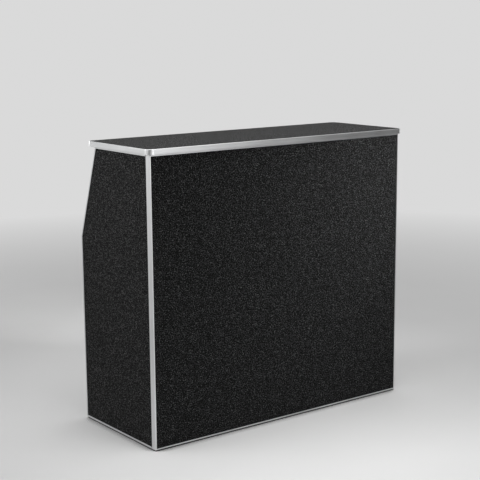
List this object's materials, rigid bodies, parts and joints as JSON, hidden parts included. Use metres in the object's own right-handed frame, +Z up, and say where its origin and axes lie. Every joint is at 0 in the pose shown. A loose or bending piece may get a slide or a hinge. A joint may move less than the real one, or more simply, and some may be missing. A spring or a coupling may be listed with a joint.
{
  "type": "folding portable bar",
  "caption": "Free-standing folding bar counter: framed black laminate front, fold-in raked sides, drop-down shelves and a lift-off edged top.",
  "frame": {"origin": "on the floor, under the centre of the bounding box", "axes": "+X along the bar to the customer's right, +Y from the customer's side to the server's side, +Z up"},
  "size_m": [1.2, 0.498, 1.08],
  "materials": {
    "black_laminate": "black speckled laminate on board, fine pebble texture",
    "satin_aluminium": "satin anodised extrusion",
    "hinge_steel": "bright zinc plated",
    "black_nylon": "moulded nylon"
  },
  "bodies": {
    "front": {"front_board": "black_laminate", "front_frame_bottom": "satin_aluminium", "front_frame_left": "satin_aluminium", "front_frame_right": "satin_aluminium", "front_frame_top": "satin_aluminium", "front_glide_left": "black_nylon", "front_glide_right": "black_nylon", "left_hinge_fixed_leaf": "hinge_steel", "left_hinge_pin": "hinge_steel", "lower_catch_left": "black_nylon", "lower_catch_right": "black_nylon", "lower_shelf_hinge_fixed_leaf": "hinge_steel", "lower_shelf_hinge_pin": "hinge_steel", "right_hinge_fixed_leaf": "hinge_steel", "right_hinge_pin": "hinge_steel", "top_pin_left": "hinge_steel", "top_pin_right": "hinge_steel", "upper_catch_left": "black_nylon", "upper_catch_right": "black_nylon", "upper_shelf_hinge_fixed_leaf": "hinge_steel", "upper_shelf_hinge_pin": "hinge_steel"},
    "left_side": {"left_cleat_lower": "satin_aluminium", "left_cleat_upper": "satin_aluminium", "left_glide_front": "black_nylon", "left_glide_rear": "black_nylon", "left_hinge_side_leaf": "hinge_steel", "left_side_board": "black_laminate", "left_side_trim_bottom": "satin_aluminium", "left_side_trim_rear_lower": "satin_aluminium", "left_side_trim_rear_slope": "satin_aluminium", "left_side_trim_top": "satin_aluminium"},
    "right_side": {"right_cleat_lower": "satin_aluminium", "right_cleat_upper": "satin_aluminium", "right_glide_front": "black_nylon", "right_glide_rear": "black_nylon", "right_hinge_side_leaf": "hinge_steel", "right_side_board": "black_laminate", "right_side_trim_bottom": "satin_aluminium", "right_side_trim_rear_lower": "satin_aluminium", "right_side_trim_rear_slope": "satin_aluminium", "right_side_trim_top": "satin_aluminium"},
    "upper_shelf": {"upper_shelf_board": "black_laminate", "upper_shelf_hinge_shelf_leaf": "hinge_steel", "upper_shelf_trim_left": "satin_aluminium", "upper_shelf_trim_rear": "satin_aluminium", "upper_shelf_trim_right": "satin_aluminium", "upper_strike_left": "hinge_steel", "upper_strike_right": "hinge_steel"},
    "lower_shelf": {"lower_shelf_board": "black_laminate", "lower_shelf_hinge_shelf_leaf": "hinge_steel", "lower_shelf_trim_left": "satin_aluminium", "lower_shelf_trim_rear": "satin_aluminium", "lower_shelf_trim_right": "satin_aluminium", "lower_strike_left": "hinge_steel", "lower_strike_right": "hinge_steel"},
    "top": {"top_board": "black_laminate", "top_edging": "satin_aluminium", "top_socket_left": "black_nylon", "top_socket_right": "black_nylon"}
  },
  "joints": [
    {"name": "left_side_fold", "type": "hinge", "parent": "front", "child": "left_side", "pos_m": [-0.5595, -0.21135, 0.529], "axis": [0, 0, -1], "range_deg": [0, 90]},
    {"name": "right_side_fold", "type": "hinge", "parent": "front", "child": "right_side", "pos_m": [0.5595, -0.21135, 0.529], "axis": [0, 0, 1], "range_deg": [0, 90]},
    {"name": "upper_shelf_drop", "type": "hinge", "parent": "front", "child": "upper_shelf", "pos_m": [0, -0.2223, 0.6027], "axis": [1, 0, 0], "range_deg": [-90, 0]},
    {"name": "lower_shelf_drop", "type": "hinge", "parent": "front", "child": "lower_shelf", "pos_m": [0, -0.2223, 0.1527], "axis": [1, 0, 0], "range_deg": [-90, 0]},
    {"name": "top_lift", "type": "slide", "parent": "front", "child": "top", "axis": [0, 0, 1], "range_m": [0, 0.25]}
  ]
}
